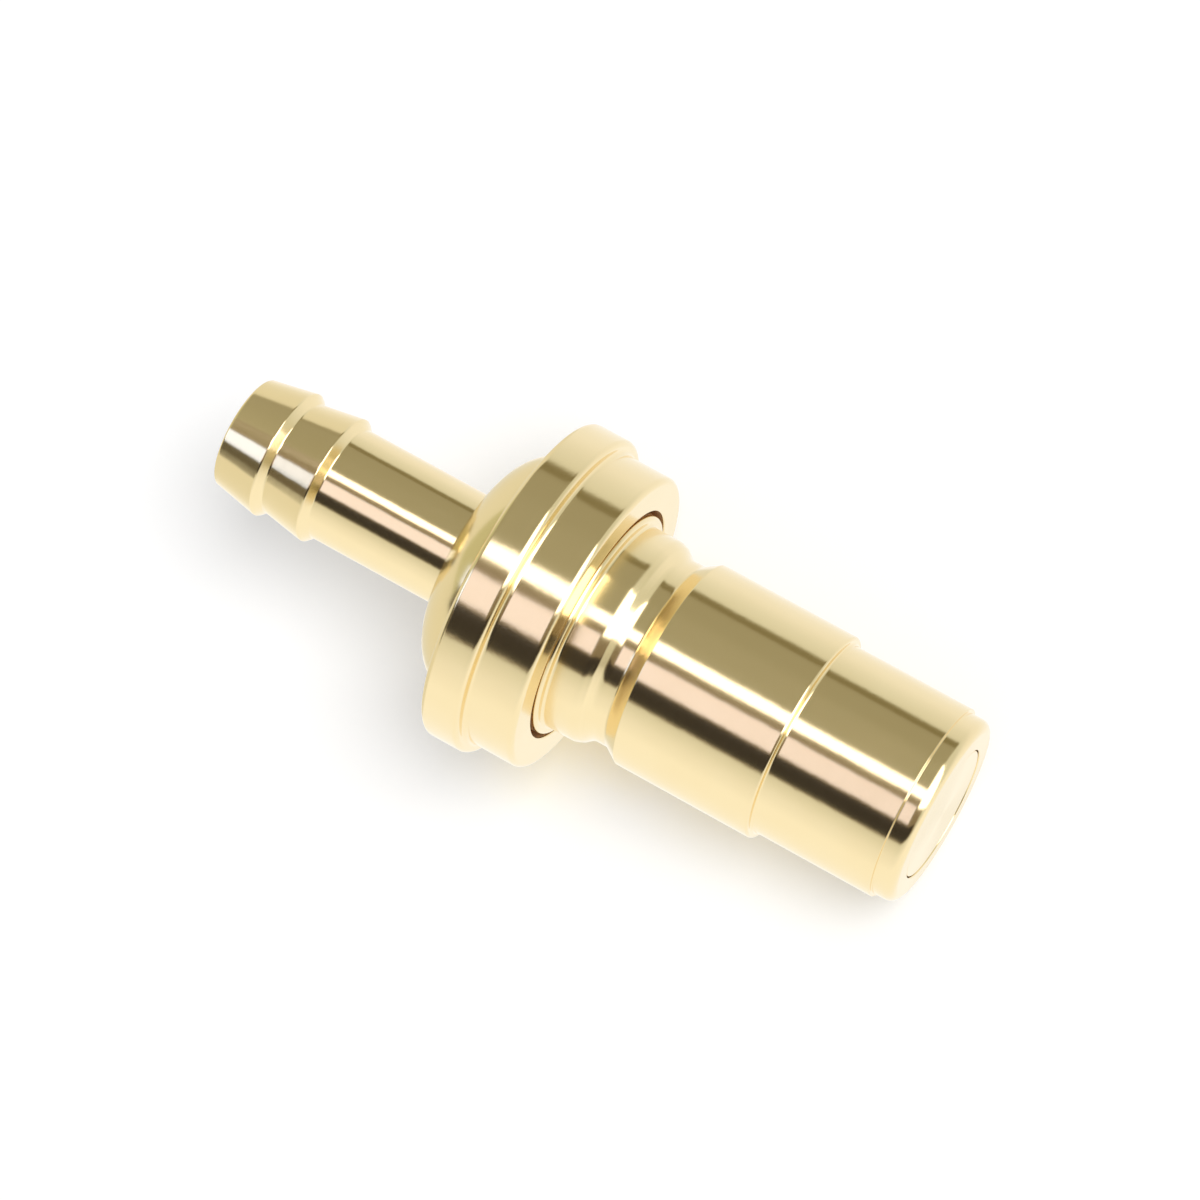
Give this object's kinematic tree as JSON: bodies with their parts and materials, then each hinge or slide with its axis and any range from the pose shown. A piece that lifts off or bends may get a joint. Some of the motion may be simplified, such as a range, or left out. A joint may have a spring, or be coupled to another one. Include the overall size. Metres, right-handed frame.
{
  "type": "valved hose coupling plug",
  "caption": "Turned brass quick-coupling plug with a barbed hose tail, stepped collar, locking groove and a sprung valve just inside its tip.",
  "frame": {"origin": "centre of the hose end's face, the lowest point of the part as stored", "axes": "+Z runs along the turning axis from the hose end to the plug's tip"},
  "size_m": [0.028, 0.028, 0.0646],
  "materials": {
    "tail_brass": "polished, fine turning marks",
    "body_brass": "polished, fine turning marks",
    "valve_brass": "polished, faced flat",
    "seal_rubber": "matt",
    "spring_steel": "drawn wire"
  },
  "bodies": {
    "body": {"hose_tail": "tail_brass", "plug_body": "body_brass", "joint_seal": "seal_rubber", "valve_spring": "spring_steel"},
    "valve": {"valve": "valve_brass", "valve_seal": "seal_rubber"}
  },
  "joints": [
    {"name": "valve_slide", "type": "slide", "parent": "body", "child": "valve", "axis": [0, 0, 1], "range_m": [-0.0045, 0], "stiffness_N_per_m": 900, "springref_m": 0.008, "deforming": ["valve_spring"]}
  ]
}
